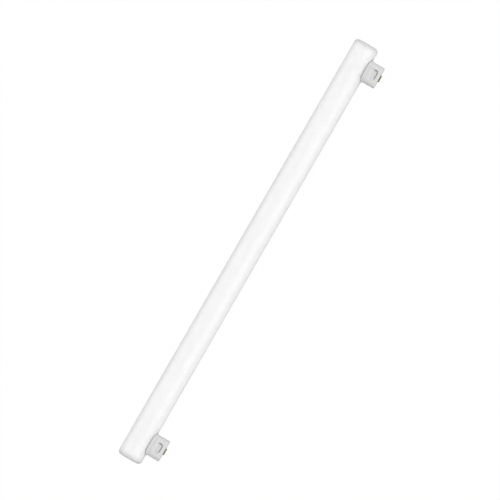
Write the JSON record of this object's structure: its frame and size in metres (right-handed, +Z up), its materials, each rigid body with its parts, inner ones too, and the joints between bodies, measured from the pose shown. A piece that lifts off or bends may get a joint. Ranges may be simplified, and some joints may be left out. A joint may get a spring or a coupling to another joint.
{
  "type": "tubular light bulb",
  "caption": "Long straight opal tube lamp, closed at both ends, with an oblong push-in cap standing off its side near each end and a flat brass contact in each cap.",
  "frame": {"origin": "middle of the lamp's outline on the surface it lies on", "axes": "+X along the tube, +Z up, with the lamp lying on its side so that the caps point to -Y and 14.0 degrees down"},
  "size_m": [0.5, 0.0428, 0.0272],
  "materials": {
    "opal_tube": "opal white, satin gloss",
    "cap": "moulded, fine matt",
    "bond": "set adhesive, matt",
    "contact": "drawn, dark with tarnish",
    "lead_wire": "drawn copper"
  },
  "bodies": {
    "root": {"opal_tube": "opal_tube", "left_cap": "cap", "left_bond": "bond", "left_contact": "contact", "left_lead_wire": "lead_wire", "right_cap": "cap", "right_bond": "bond", "right_contact": "contact", "right_lead_wire": "lead_wire"}
  },
  "joints": []
}
